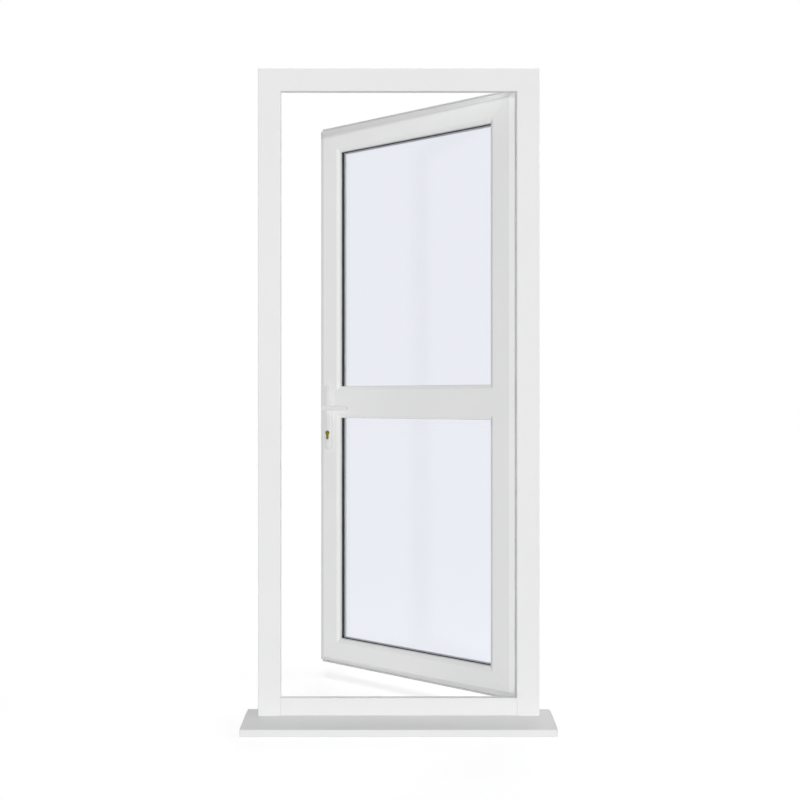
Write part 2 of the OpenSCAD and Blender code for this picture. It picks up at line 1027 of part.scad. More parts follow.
// A lever is a round neck that carries a tapered, crowned arm
module lever() {
    arm_l = lever_l - lever_tip_r;
    color(white)
        difference() {
            union() {
                translate([0, 0, fit])
                    cylinder(r = neck_r, h = lever_reach - fit - lever_t / 2);
                intersection() {
                    translate([0, 0, lever_reach - lever_t])
                        linear_extrude(lever_t) {
                            circle(r = neck_r);
                            polygon([[0, neck_r], [arm_l, lever_tip_r], [arm_l, -lever_tip_r], [0, -neck_r]]);
                            translate([arm_l, 0])
                                circle(r = lever_tip_r);
                        }
                    translate([0, 0, lever_reach - lever_crown_r])
                        rotate([0, 90, 0])
                            cylinder(r = lever_crown_r, h = 4 * lever_l, center = true, $fn = 96);
                }
            }
            translate([0, 0, spindle_end / 2])
                cube([spindle_w + slide, spindle_w + slide, spindle_end + 2 * fit], center = true);
        }
}

module lever_outside() {
    on_face(false)
        lever();
}

module lever_inside() {
    on_face(true)
        lever();
}

module spindle() {
    color(steel)
        on_face(false)
            block([-spindle_w / 2, -spindle_w / 2, -leaf_d - spindle_end],
                  [spindle_w / 2, spindle_w / 2, spindle_end]);
}

// Lock, drawn from the lock edge with X into the leaf
module lock_faceplate() {
    color(metal)
        at_lock()
            difference() {
                block([faceplate_a, lock_b - faceplate_w / 2, hook_low_z - bar_ends],
                      [faceplate_a + faceplate_t, lock_b + faceplate_w / 2, hook_high_z + bar_ends]);
                lock_slot(latch_w, latch_z - latch_h / 2, latch_z + latch_h / 2);
                lock_slot(bolt_w, bolt_z - bolt_h / 2, bolt_z + bolt_h / 2);
                for (z = hook_zs)
                    lock_slot(hook_t, z - hook_down, z + hook_up);
                cylinder_screw_hole(2 * screw_r + fit, faceplate_a - past, faceplate_a + screw_head_h);
                cylinder_screw_hole(screw_r + slide, 0, faceplate_a + faceplate_t + past);
            }
}

// A slot through the thin pieces behind the lock edge
module lock_slot(w, low, high) {
    block([0, lock_b - w / 2 - fit, low - fit], [steel_in, lock_b + w / 2 + fit, high + fit]);
}

module cylinder_screw_hole(r, a_low, a_high) {
    translate([a_low, lock_b, cylinder_z - cylinder_leg])
        rotate([0, 90, 0])
            cylinder(r = r, h = a_high - a_low);
}

module lock_case() {
    color(steel)
        at_lock()
            difference() {
                block([case_a, lock_b - case_t / 2, case_low], [case_end, lock_b + case_t / 2, case_high]);
                block([case_a + case_wall, lock_b - case_t / 2 + case_wall, case_low + case_wall],
                      [case_end - case_wall, lock_b + case_t / 2 - case_wall, case_high - case_wall]);
                lock_slot(latch_w, latch_z - latch_h / 2, latch_z + latch_h / 2);
                lock_slot(bolt_w, bolt_z - bolt_h / 2, bolt_z + bolt_h / 2);
                cylinder_screw_hole(screw_r + fit, 0, case_a + 2 * case_wall);
                plate_y(0, leaf_d)
                    translate([spindle_inset, lever_z]) {
                        circle(r = neck_r + slide);
                        translate([0, -cylinder_drop])
                            cylinder_2d(fit);
                    }
            }
}

// The follower turns with the spindle, and its finger draws the latch
module lock_follower() {
    half = case_t / 2 - case_wall - fit;
    color(brass)
        at_lock()
            translate([spindle_inset, lock_b, lever_z])
                difference() {
                    union() {
                        rotate([90, 0, 0])
                            cylinder(r = neck_r, h = case_t, center = true);
                        rotate([90, 0, 0])
                            cylinder(r = follower_r, h = 2 * half, center = true);
                        block([-finger_w / 2, -bolt_w / 4, 0], [finger_w / 2, bolt_w / 4, finger_h]);
                    }
                    cube([spindle_w + slide, 2 * case_t, spindle_w + slide], center = true);
                }
}

module latch_bolt() {
    nose = faceplate_a - latch_throw;
    head_end = 20;
    tail_w = 6;
    low = latch_z - latch_h / 2;
    color(metal)
        at_lock()
            difference() {
                union() {
                    translate([0, lock_b, low])
                        linear_extrude(latch_h)
                            polygon([
                                [nose, latch_w / 2],
                                [nose, latch_w / 5],
                                [faceplate_a - 2 * fit, -latch_w / 2],
                                [head_end, -latch_w / 2],
                                [head_end, latch_w / 2]
                            ]);
                    block([head_end, lock_b - tail_w / 2, low],
                          [latch_end, lock_b + tail_w / 2, low + latch_h]);
                }
                block([spindle_inset - notch_before, lock_b - tail_w, low - past],
                      [spindle_inset + notch_after, lock_b + tail_w, low + latch_h / 2]);
            }
}

module deadbolt() {
    color(metal)
        at_lock()
            block([faceplate_a + fit, lock_b - bolt_w / 2, bolt_z - bolt_h / 2],
                  [spindle_inset, lock_b + bolt_w / 2, bolt_z + bolt_h / 2]);
}

// The drive bar slides up behind the faceplate, with slots as long as its travel
module drive_bar() {
    color(steel)
        at_lock()
            difference() {
                block([bar_a, lock_b - bar_w / 2, hook_low_z - bar_ends + past],
                      [bar_a + bar_t, lock_b + bar_w / 2, hook_high_z + bar_ends - bar_travel - past]);
                lock_slot(latch_w, latch_z - latch_h / 2 - bar_travel, latch_z + latch_h / 2);
                lock_slot(bolt_w, bolt_z - bolt_h / 2 - bar_travel, bolt_z + bolt_h / 2);
                for (z = hook_zs)
                    lock_slot(hook_t, z - hook_down - bar_travel, z + hook_up);
                lock_slot(2 * screw_r, cylinder_z - cylinder_leg - screw_r - bar_travel,
                          cylinder_z - cylinder_leg + screw_r);
            }
}

function hook_case_low(z) = z - hook_hub_r - 2 * case_wall;
function hook_case_high(z) = z + hook_l + 2 * case_wall;

module hook_case(z) {
    color(steel)
        at_lock() {
            difference() {
                block([case_a, lock_b - case_t / 2, hook_case_low(z)],
                      [hook_case_end, lock_b + case_t / 2, hook_case_high(z)]);
                block([case_a - past, lock_b - hook_t / 2 - fit, hook_case_low(z) + case_wall],
                      [hook_case_end - case_wall, lock_b + hook_t / 2 + fit, hook_case_high(z) - case_wall]);
            }
            translate([hook_a, lock_b, z])
                rotate([90, 0, 0])
                    cylinder(r = hook_pin_r, h = case_t, center = true);
        }
}

module hook_case_lower() {
    hook_case(hook_low_z);
}

module hook_case_upper() {
    hook_case(hook_high_z);
}

// A hook stands up in its case and drops out through the faceplate, beak down
module hook(z) {
    color(metal)
        at_lock()
            translate([hook_a, lock_b, z])
                rotate([90, 0, 0])
                    difference() {
                        linear_extrude(hook_t, center = true) {
                            circle(r = hook_hub_r);
                            slot_2d([-hook_arm / 2, 0], [hook_arm / 2, hook_l]);
                            slot_2d([-hook_arm / 2 - beak, hook_l - beak_t], [0, hook_l]);
                        }
                        cylinder(r = hook_pin_r + slide, h = 2 * hook_t, center = true);
                    }
}

module hook_lower() {
    hook(hook_low_z);
}

module hook_upper() {
    hook(hook_high_z);
}

// Key cylinder: a keyhole-shaped body, a plug from each side and the cam between them
module at_cylinder() {
    in_leaf()
        translate([spindle_x, 0, cylinder_z])
            children();
}

// A turned piece on the axis of the cylinder
module turned(r, y_low, y_high) {
    translate([0, y_low, 0])
        rotate([-90, 0, 0])
            cylinder(r = r, h = y_high - y_low);
}

module cylinder_body() {
    color(brass)
        at_cylinder()
            difference() {
                plate_y(body_low, body_high)
                    cylinder_2d(0);
                turned(plug_r + slide, body_low - past, body_high + past);
                turned(cam_r + fit, lock_y - cam_t / 2 - fit, lock_y + cam_t / 2 + fit);
                translate([-spindle_inset, lock_y, -cylinder_leg])
                    rotate([0, 90, 0])
                        cylinder(r = screw_r + slide, h = 2 * spindle_inset);
            }
}

module key_plug(y_low, y_high, y_key) {
    color(brass)
        at_cylinder()
            difference() {
                turned(plug_r, y_low, y_high);
                block([-key_w / 2, y_key - key_l, -key_h / 2], [key_w / 2, y_key + key_l, key_h / 2]);
            }
}

module cylinder_plug_outside() {
    key_plug(body_low, lock_y - cam_t / 2 - fit, body_low);
}

module cylinder_plug_inside() {
    key_plug(lock_y + cam_t / 2 + fit, body_high, body_high);
}

module cylinder_cam() {
    color(steel)
        at_cylinder()
            union() {
                turned(cylinder_r, lock_y - cam_t / 2, lock_y + cam_t / 2);
                intersection() {
                    block([-cylinder_r / 2, lock_y - cam_t / 2, -cam_r],
                          [cylinder_r / 2, lock_y + cam_t / 2, 0]);
                    turned(cam_r, lock_y - cam_t / 2, lock_y + cam_t / 2);
                }
            }
}

module cylinder_screw() {
    color(steel)
        at_lock()
            union() {
                cylinder_screw_hole(2 * screw_r, faceplate_a, faceplate_a + screw_head_h);
                cylinder_screw_hole(screw_r, faceplate_a, spindle_inset + screw_r);
            }
}

jamb_hinge_side();
jamb_lock_side();
frame_head();
frame_threshold();
frame_steels();
frame_seal();
cill();
cill_cap_left();
cill_cap_right();
keep_centre();
keep_hook_lower();
keep_hook_upper();
hinge_plate_lower();
hinge_plate_middle();
hinge_plate_upper();
hinge_pins();
stile_hinge_side();
stile_lock_side();
rail_top();
rail_bottom();
rail_middle();
leaf_steels();
leaf_seal();
lower_pane_outside();
lower_spacer();
lower_pane_inside();
upper_pane_outside();
upper_spacer();
upper_pane_inside();
outside_glazing_seals();
inside_glazing_seals();
lower_beads();
upper_beads();
glazing_packers();
hinge_flag_lower();
hinge_flag_middle();
hinge_flag_upper();
hinge_bushes();
handle_plate_outside();
handle_plate_inside();
handle_screws();
lock_faceplate();
lock_case();
hook_case_lower();
hook_case_upper();
cylinder_body();
cylinder_screw();
lever_outside();
lever_inside();
spindle();
lock_follower();
latch_bolt();
deadbolt();
drive_bar();
hook_lower();
hook_upper();
cylinder_plug_outside();
cylinder_cam();
cylinder_plug_inside();
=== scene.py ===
import json
import math

import bmesh
import bpy
from mathutils import Matrix, Vector


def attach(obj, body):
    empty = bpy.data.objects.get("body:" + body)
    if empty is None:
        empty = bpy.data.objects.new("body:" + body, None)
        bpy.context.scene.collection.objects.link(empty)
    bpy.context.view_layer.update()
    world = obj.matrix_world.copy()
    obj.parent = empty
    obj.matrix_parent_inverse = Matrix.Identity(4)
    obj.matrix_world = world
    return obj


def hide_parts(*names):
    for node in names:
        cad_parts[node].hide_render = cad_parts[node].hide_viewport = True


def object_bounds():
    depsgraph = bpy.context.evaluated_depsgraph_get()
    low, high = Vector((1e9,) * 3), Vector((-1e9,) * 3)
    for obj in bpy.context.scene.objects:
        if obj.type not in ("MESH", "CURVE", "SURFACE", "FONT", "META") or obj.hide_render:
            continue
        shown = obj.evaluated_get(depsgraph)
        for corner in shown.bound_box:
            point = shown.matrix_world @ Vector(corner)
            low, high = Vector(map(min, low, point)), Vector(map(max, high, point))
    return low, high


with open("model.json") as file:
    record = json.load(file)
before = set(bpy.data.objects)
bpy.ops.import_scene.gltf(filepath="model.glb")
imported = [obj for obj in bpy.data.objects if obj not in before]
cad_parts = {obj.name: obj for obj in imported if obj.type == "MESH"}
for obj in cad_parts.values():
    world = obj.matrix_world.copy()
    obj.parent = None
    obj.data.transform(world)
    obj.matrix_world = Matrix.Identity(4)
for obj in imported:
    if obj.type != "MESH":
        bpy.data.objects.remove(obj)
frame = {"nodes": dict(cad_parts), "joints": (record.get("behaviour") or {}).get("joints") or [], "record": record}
cadLow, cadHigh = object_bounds()
nodes = frame["nodes"]
joints = {joint["name"]: joint for joint in frame["joints"]}
slotOf = {row["node"]: row["material_slot"] for row in frame["record"]["subparts"]}
print("frame loaded:", len(nodes), "nodes")

# the leaf's own pieces are laid out with the leaf shut, then swung to where the frame holds it
swing = joints["leaf_swing"]
hingeLine = Matrix.Translation(swing["pos_m"])
openAngle = -math.radians(swing["range_deg"][0])
leafTurn = hingeLine @ Matrix.Rotation(openAngle, 4, Vector(swing["axis"])) @ hingeLine.inverted()
leafSlant = openAngle * swing["axis"][2]  # the leaf's turn about Z


def boxOf(name, turned=None):
    points = [v.co if turned is None else turned @ v.co for v in nodes[name].data.vertices]
    low = Vector([min(p[i] for p in points) for i in range(3)])
    high = Vector([max(p[i] for p in points) for i in range(3)])
    return low, high


def leafBox(name):
    return boxOf(name, leafTurn.inverted())


# width of the bar of a ring that stands square round X = 0
def barWidth(name, turned):
    across = [abs((turned @ v.co).x) for v in nodes[name].data.vertices]
    return max(across) - min(across)


# finishes

def startMaterial(name, **values):
    material = bpy.data.materials.new(name)
    material.use_nodes = True
    tree = material.node_tree
    shader = tree.nodes["Principled BSDF"]
    for socket, value in values.items():
        shader.inputs[socket.replace("_", " ")].default_value = value
    return material, tree, shader


def objectPoints(tree, scale=(1, 1, 1), turn=0.0):
    coords = tree.nodes.new("ShaderNodeTexCoord")
    mapping = tree.nodes.new("ShaderNodeMapping")
    mapping.vector_type = "TEXTURE"  # turned first, then stretched
    mapping.inputs["Rotation"].default_value = (0, 0, turn)
    mapping.inputs["Scale"].default_value = [1 / s for s in scale]
    tree.links.new(coords.outputs["Object"], mapping.inputs["Vector"])
    return mapping.outputs["Vector"]


def noise(tree, points, scale, detail=2.0, rough=0.5):
    node = tree.nodes.new("ShaderNodeTexNoise")
    node.inputs["Scale"].default_value = scale
    node.inputs["Detail"].default_value = detail
    node.inputs["Roughness"].default_value = rough
    tree.links.new(points, node.inputs["Vector"])
    return node.outputs["Fac"]


noiseSpan = (0.3, 0.7)  # most values of a noise lie in here


# colour the surface between its dull and its light tone
def tones(tree, shader, value, look, span=noiseSpan):
    node = tree.nodes.new("ShaderNodeValToRGB")
    for mark, place, tone in zip(node.color_ramp.elements, span, ("dull", "light")):
        mark.position = place
        mark.color = (*look[tone], 1)
    tree.links.new(value, node.inputs["Fac"])
    tree.links.new(node.outputs["Color"], shader.inputs["Base Color"])


# carry a value from its span to the range from low to high
def spread(tree, value, low, high, span=noiseSpan):
    node = tree.nodes.new("ShaderNodeMapRange")
    node.inputs["From Min"].default_value = span[0]
    node.inputs["From Max"].default_value = span[1]
    node.inputs["To Min"].default_value = low
    node.inputs["To Max"].default_value = high
    tree.links.new(value, node.inputs["Value"])
    return node.outputs["Result"]


def bump(tree, shader, height, look):
    node = tree.nodes.new("ShaderNodeBump")
    node.inputs["Strength"].default_value = look["bumpStrength"]
    node.inputs["Distance"].default_value = look["bumpDepth"]
    tree.links.new(height, node.inputs["Height"])
    tree.links.new(node.outputs["Normal"], shader.inputs["Normal"])


plasticLook = {
    "light": (0.809, 0.811, 0.809), "dull": (0.795, 0.797, 0.798),
    "IOR": 1.48, "cloudScale": 3.0, "cloudDetail": 3, "rough": (0.3, 0.35),
    "dieLines": 420.0, "stretch": 0.004,  # faint lines drawn along the profile
    "bumpStrength": 0.01, "bumpDepth": 0.00006,
}


# extruded white plastic, with its faint lines along X or Z, or none
def extrudedPlastic(name, along="", turn=0.0):
    look = plasticLook
    material, tree, shader = startMaterial(name, IOR=look["IOR"])
    plain = objectPoints(tree)
    stretch = [look["stretch"] if axis == along else 1 for axis in "XYZ"]
    drawn = objectPoints(tree, stretch, turn)
    tones(tree, shader, noise(tree, plain, look["cloudScale"], look["cloudDetail"]), look)
    lines = noise(tree, drawn, look["dieLines"])
    tree.links.new(spread(tree, lines, *look["rough"]), shader.inputs["Roughness"])
    bump(tree, shader, lines, look)
    return material


coatLook = {
    "light": (0.80, 0.80, 0.79), "dull": (0.76, 0.76, 0.76), "IOR": 1.5, "rough": (0.3, 0.42),
    "peelScale": 900.0, "cloudScale": 22.5, "bumpStrength": 0.15, "bumpDepth": 0.00008,
}


def powderCoat(name):
    look = coatLook
    material, tree, shader = startMaterial(name, IOR=look["IOR"])
    points = objectPoints(tree)
    peel = noise(tree, points, look["peelScale"])
    tones(tree, shader, noise(tree, points, look["cloudScale"]), look)
    tree.links.new(spread(tree, peel, *look["rough"]), shader.inputs["Roughness"])
    bump(tree, shader, peel, look)
    return material


rubberLook = {
    "light": (0.71, 0.715, 0.72), "dull": (0.61, 0.615, 0.62), "rough": (0.5, 0.72),
    "bloomScale": 1400.0 / 60, "bloomSpan": (0.35, 0.75),  # the pale film that rubber gets with age
    "grain": 1400.0, "grainDetail": 3, "bumpStrength": 0.25, "bumpDepth": 0.0001,
}


def greyRubber(name):
    look = rubberLook
    material, tree, shader = startMaterial(name)
    points = objectPoints(tree)
    grain = noise(tree, points, look["grain"], look["grainDetail"])
    bloom = noise(tree, points, look["bloomScale"], look["grainDetail"])
    tones(tree, shader, bloom, look, look["bloomSpan"])
    tree.links.new(spread(tree, grain, *look["rough"]), shader.inputs["Roughness"])
    bump(tree, shader, grain, look)
    return material


metalLook = {
    "zinc": {"light": (0.62, 0.64, 0.66), "dull": (0.47, 0.49, 0.52), "rough": (0.22, 0.42), "spots": 90.0},
    "brass": {"light": (0.265, 0.26, 0.038), "dull": (0.17, 0.168, 0.022), "rough": (0.3, 0.5), "spots": 160.0},
    "spotDetail": 4, "spotRough": 0.6, "spotSpan": (0.35, 0.65),
    "grain": 700.0, "stretch": 0.03, "bumpStrength": 0.1, "bumpDepth": 0.00005,
}


# plated or solid metal with a brushed grain along Z and a cloudy tone
def brushedMetal(name, kind):
    look = metalLook
    tone = look[kind]
    material, tree, shader = startMaterial(name, Metallic=1.0)
    grain = noise(tree, objectPoints(tree, (1, 1, look["stretch"])), look["grain"])
    spots = noise(tree, objectPoints(tree), tone["spots"], look["spotDetail"], look["spotRough"])
    tones(tree, shader, spots, tone, look["spotSpan"])
    tree.links.new(spread(tree, grain, *tone["rough"]), shader.inputs["Roughness"])
    bump(tree, shader, grain, look)
    return material


glassLook = {
    "tint": (0.905, 0.915, 0.945), "IOR": 1.3, "rough": (0.0, 0.015), "haze": 6.0, "hazeDetail": 3,
    "waveScale": 1.7, "waveDetail": 1, "bumpStrength": 0.02, "bumpDepth": 0.0004,
}


def floatGlass(name):
    look = glassLook
    material, tree, shader = startMaterial(
        name, Base_Color=(*look["tint"], 1), Transmission_Weight=1.0, IOR=look["IOR"])
    points = objectPoints(tree)
    haze = noise(tree, points, look["haze"], look["hazeDetail"])
    tree.links.new(spread(tree, haze, *look["rough"]), shader.inputs["Roughness"])
    bump(tree, shader, noise(tree, points, look["waveScale"], look["waveDetail"]), look)
    return material


spacerLook = {
    "light": (0.018, 0.018, 0.02), "dull": (0.007, 0.007, 0.008), "rough": 0.7, "shine": 0.12,
    "holes": 330.0, "holeEdge": (0.12, 0.22), "bumpStrength": 0.1, "bumpDepth": 0.0001,
}


# the spacer bar is pricked with small breathing holes
def spacerBar(name):
    look = spacerLook
    material, tree, shader = startMaterial(name, Roughness=look["rough"], Specular_IOR_Level=look["shine"])
    cells = tree.nodes.new("ShaderNodeTexVoronoi")
    cells.inputs["Scale"].default_value = look["holes"]
    tree.links.new(objectPoints(tree), cells.inputs["Vector"])
    tones(tree, shader, cells.outputs["Distance"], look, look["holeEdge"])
    bump(tree, shader, cells.outputs["Distance"], look)
    return material


nylonLook = {"light": (0.2, 0.27, 0.4), "dull": (0.15, 0.2, 0.31), "rough": (0.4, 0.55), "grain": 500.0}


def mouldedNylon(name):
    look = nylonLook
    material, tree, shader = startMaterial(name)
    grain = noise(tree, objectPoints(tree), look["grain"])
    tones(tree, shader, grain, look)
    tree.links.new(spread(tree, grain, *look["rough"]), shader.inputs["Roughness"])
    return material


uprightPlastic = extrudedPlastic("uprightPlastic", "Z")
crossPlastic = extrudedPlastic("crossPlastic", "X")
railPlastic = extrudedPlastic("railPlastic", "X", leafSlant)
beadPlastic = extrudedPlastic("beadPlastic")
whiteCoat = powderCoat("whiteCoat")
sealRubber = greyRubber("sealRubber")
zincSteel = brushedMetal("zincSteel", "zinc")
dullBrass = brushedMetal("dullBrass", "brass")
clearGlass = floatGlass("clearGlass")
blackSpacer = spacerBar("blackSpacer")
packerNylon = mouldedNylon("packerNylon")

finishOf = {
    "upvc_white": uprightPlastic, "grey_seal": sealRubber, "bright_steel": zincSteel, "hinge_white": whiteCoat,
    "handle_white": whiteCoat, "lock_brass": dullBrass, "clear_glass": clearGlass, "spacer_black": blackSpacer,
    "nylon": packerNylon,
}
crossNodes = ("frame_head", "frame_threshold", "cill", "cill_cap_left", "cill_cap_right")
railNodes = ("rail_top", "rail_bottom", "rail_middle")
beadNodes = ("lower_beads", "upper_beads")
for name, node in nodes.items():
    finish = finishOf[slotOf[name]]
    if name in crossNodes:
        finish = crossPlastic
    if name in railNodes:
        finish = railPlastic
    if name in beadNodes:
        finish = beadPlastic
    node.data.materials.clear()
    node.data.materials.append(finish)
    node.visible_shadow = finish != clearGlass  # light goes on through the glass
print("finishes set")

# soft edges: the loose triangles are joined and flattened into faces, then every sharp edge is rounded
edgeSoftness = {
    "upvc_white": 0.0006, "hinge_white": 0.0006, "handle_white": 0.0012,
    "bright_steel": 0.0003, "lock_brass": 0.0003,
    "joinWithin": 0.00001, "flatWithin": math.radians(1), "sharperThan": math.radians(17), "segments": 3,
    "shadeLimit": math.radians(32),
}


# smooth shading that breaks at edges sharper than the limit
def softShading(limit):
    group = bpy.data.node_groups.new("softShading", "GeometryNodeTree")
    for way in ("INPUT", "OUTPUT"):
        group.interface.new_socket("Geometry", in_out=way, socket_type="NodeSocketGeometry")
    start, end, smoothFaces, sharpEdges, angle, sharper = [group.nodes.new(kind) for kind in (
        "NodeGroupInput", "NodeGroupOutput", "GeometryNodeSetShadeSmooth", "GeometryNodeSetShadeSmooth",
        "GeometryNodeInputMeshEdgeAngle", "FunctionNodeCompare")]
    sharpEdges.domain = "EDGE"
    sharpEdges.inputs["Shade Smooth"].default_value = False
    sharper.inputs["B"].default_value = limit
    group.links.new(angle.outputs["Unsigned Angle"], sharper.inputs["A"])
    group.links.new(sharper.outputs["Result"], sharpEdges.inputs["Selection"])
    group.links.new(start.outputs["Geometry"], smoothFaces.inputs["Geometry"])
    group.links.new(smoothFaces.outputs["Geometry"], sharpEdges.inputs["Geometry"])
    group.links.new(sharpEdges.outputs["Geometry"], end.inputs["Geometry"])
    return group


shadeByAngle = softShading(edgeSoftness["shadeLimit"])


# large flat faces keep their own normals, and the narrow rounded strips between them blend
def shadeSoftly(piece):
    shade = piece.modifiers.new("shade", "NODES")
    shade.node_group = shadeByAngle
    weigh = piece.modifiers.new("weigh", "WEIGHTED_NORMAL")
    weigh.keep_sharp = True


def softenEdges(node, width):
    rule = edgeSoftness
    weld = node.modifiers.new("join", "WELD")
    weld.merge_threshold = rule["joinWithin"]
    flat = node.modifiers.new("flatten", "DECIMATE")
    flat.decimate_type = "DISSOLVE"
    flat.angle_limit = rule["flatWithin"]
    bevel = node.modifiers.new("soften", "BEVEL")
    bevel.width = width
    bevel.segments = rule["segments"]
    bevel.limit_method = "ANGLE"
    bevel.angle_limit = rule["sharperThan"]
    bevel.use_clamp_overlap = True
    shadeSoftly(node)


# the levers are cast and rounder than a bevel makes them
castLever = {"nodes": ("lever_outside", "lever_inside"), "grain": 0.0007, "passes": 20, "pull": 0.5}


def roundLever(node):
    weld = node.modifiers.new("join", "WELD")
    weld.merge_threshold = edgeSoftness["joinWithin"]
    cast = node.modifiers.new("cast", "REMESH")
    cast.mode = "VOXEL"
    cast.voxel_size = castLever["grain"]
    cast.use_smooth_shade = True
    worn = node.modifiers.new("wear", "SMOOTH")
    worn.factor = castLever["pull"]
    worn.iterations = castLever["passes"]


hiddenNodes = ("frame_steels", "leaf_steels", "lock_case", "hook_case_lower", "hook_case_upper")
for name, node in nodes.items():
    if name in castLever["nodes"]:
        roundLever(node)
    elif slotOf[name] in edgeSoftness and name not in hiddenNodes:
        softenEdges(node, edgeSoftness[slotOf[name]])
print("edges softened")


samePoint = 0.000001  # points of a new piece that are closer than this become one


def addPiece(name, bm, material, body, place=None):
    if place is not None:
        bmesh.ops.transform(bm, matrix=place, verts=bm.verts)
    bmesh.ops.remove_doubles(bm, verts=bm.verts, dist=samePoint)
    bmesh.ops.recalc_face_normals(bm, faces=bm.faces)
    mesh = bpy.data.meshes.new(name)
    bm.to_mesh(mesh)
    bm.free()
    mesh.materials.append(material)
    piece = bpy.data.objects.new(name, mesh)
    bpy.context.scene.collection.objects.link(piece)
    shadeSoftly(piece)
    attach(piece, body)
    return piece


# seals: a section is carried round a rectangle, turning at mitred corners

# section points are (in from the outer line, depth along Y)
def sweepRound(bm, section, halfX, low, high):
    start = [bm.verts.new((-halfX + inward, deep, low + inward)) for inward, deep in section]
    edges = [bm.edges.new(pair) for pair in zip(start, start[1:] + start[:1])]
    middle = (low + high) / 2
    for axis, centre in ((0, 0.0), (2, middle), (0, 0.0), (2, middle)):
        grown = bmesh.ops.extrude_edge_only(bm, edges=edges)["geom"]
        moved = {g for g in grown if isinstance(g, bmesh.types.BMVert)}
        for vert in moved:
            vert.co[axis] = 2 * centre - vert.co[axis]
        edges = [g for g in grown if isinstance(g, bmesh.types.BMEdge) and set(g.verts) <= moved]


weatherSeal = {"lip": 0.25, "shoulder": 0.25, "steps": 10}


# a round-backed section that stands on a flat foot, from footDeep to topDeep
def domeSection(width, footDeep, topDeep):
    shape = weatherSeal
    section = [(width, footDeep), (0.0, footDeep)]
    for step in range(shape["steps"] + 1):
        angle = math.pi * step / shape["steps"]
        reach = width / 2 * math.cos(angle) * (1 - shape["lip"] * math.sin(angle))
        rise = shape["shoulder"] + (1 - shape["shoulder"]) * math.sin(angle)
        section.append((width / 2 - reach, footDeep + (topDeep - footDeep) * rise))
    return section


low, high = boxOf("frame_seal")
width = barWidth("frame_seal", Matrix())
bm = bmesh.new()
sweepRound(bm, domeSection(width, low.y, high.y), high.x, low.z, high.z)
frameSeal = addPiece("frameWeatherSeal", bm, sealRubber, "frame")
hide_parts("frame_seal")

low, high = leafBox("leaf_seal")
width = barWidth("leaf_seal", leafTurn.inverted())
bm = bmesh.new()
sweepRound(bm, domeSection(width, high.y, low.y), high.x, low.z, high.z)
leafSeal = addPiece("leafWeatherSeal", bm, sealRubber, "leaf", leafTurn)
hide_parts("leaf_seal")

# glazing seals lie on the glass under the leg or bead, and show a rounded lip past its edge
glazingSeal = {"flat": 0.003, "hidden": 0.010, "lipSteps": 6}


# section from the glass (depth 0) outwards; the lip rises to lipDeep beside the leg or bead
def glazingSection(width, lipDeep, side):
    shape = glazingSeal
    flat, hidden = shape["flat"], shape["hidden"]
    lipRadius = (width - hidden) / 2
    rows = [(0.0, 0.0), (0.0, flat), (hidden, flat), (hidden, lipDeep - lipRadius)]
    for step in range(shape["lipSteps"] + 1):
        angle = math.pi * step / shape["lipSteps"]
        rows.append((hidden + lipRadius * (1 - math.cos(angle)), lipDeep - lipRadius * (1 - math.sin(angle))))
    rows.append((width, 0.0))
    return [(inward, side * deep) for inward, deep in rows]


def glazingRings(name, node, glassDeep, side):
    low, high = leafBox(node)
    section = glazingSection(barWidth(node, leafTurn.inverted()), high.y - low.y, side)
    bm = bmesh.new()
    for pane in ("lower_pane_outside", "upper_pane_outside"):
        paneLow, paneHigh = leafBox(pane)
        edge = paneHigh.x - high.x  # from the edge of the glass to the outer line of the seal
        rows = [(inward, glassDeep + off) for inward, off in section]
        sweepRound(bm, rows, high.x, paneLow.z + edge, paneHigh.z - edge)
    seals = addPiece(name, bm, sealRubber, "leaf", leafTurn)
    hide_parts(node)


glazingRings("outsideGlazingSeals", "outside_glazing_seals", leafBox("lower_pane_outside")[0].y, -1)
glazingRings("insideGlazingSeals", "inside_glazing_seals", leafBox("lower_pane_inside")[1].y, 1)
print("seals made")

# screws: a low domed head with a cross recess
screwShape = {
    "radius": 0.0036, "crown": 0.8, "height": 0.0011,  # the crown is a share of the radius
    "cross": 0.0040, "crossDeep": 0.0010, "crossTaper": 0.4,
}


# the head stands on Z = 0 and points along +Z; place carries it to its seat
def addScrew(bm, place):
    shape = screwShape
    grown = bmesh.ops.create_grid(bm, x_segments=3, y_segments=3, size=shape["cross"] / 2)["verts"]
    faces = list({f for v in grown for f in v.link_faces})
    armHalf = shape["cross"] / 6
    inArm = [f for f in faces if min(abs(side) for side in f.calc_center_median().xy) < armHalf]
    rim = [e for e in {e for f in faces for e in f.edges} if e.is_boundary]
    skirt = bmesh.ops.extrude_edge_only(bm, edges=rim)["geom"]
    skirtVerts = [g for g in skirt if isinstance(g, bmesh.types.BMVert)]
    for vert in skirtVerts:
        vert.co = vert.co.normalized() * shape["radius"] * shape["crown"]
    rim = [g for g in skirt if isinstance(g, bmesh.types.BMEdge) and set(g.verts) <= set(skirtVerts)]
    foot = bmesh.ops.extrude_edge_only(bm, edges=rim)["geom"]
    footVerts = [g for g in foot if isinstance(g, bmesh.types.BMVert)]
    for vert in footVerts:
        vert.co = vert.co.normalized() * shape["radius"]
    for vert in grown + skirtVerts:
        vert.co.z += shape["height"]
    sunk = bmesh.ops.extrude_face_region(bm, geom=inArm)["geom"]
    sunkVerts = [g for g in sunk if isinstance(g, bmesh.types.BMVert)]
    bmesh.ops.delete(bm, geom=inArm, context="FACES")
    for vert in sunkVerts:
        vert.co *= shape["crossTaper"]
        vert.co.z = shape["height"] - shape["crossDeep"]
    made = set(grown) | set(skirtVerts) | set(footVerts) | set(sunkVerts)
    bmesh.ops.transform(bm, matrix=place, verts=[v for v in made if v.is_valid])


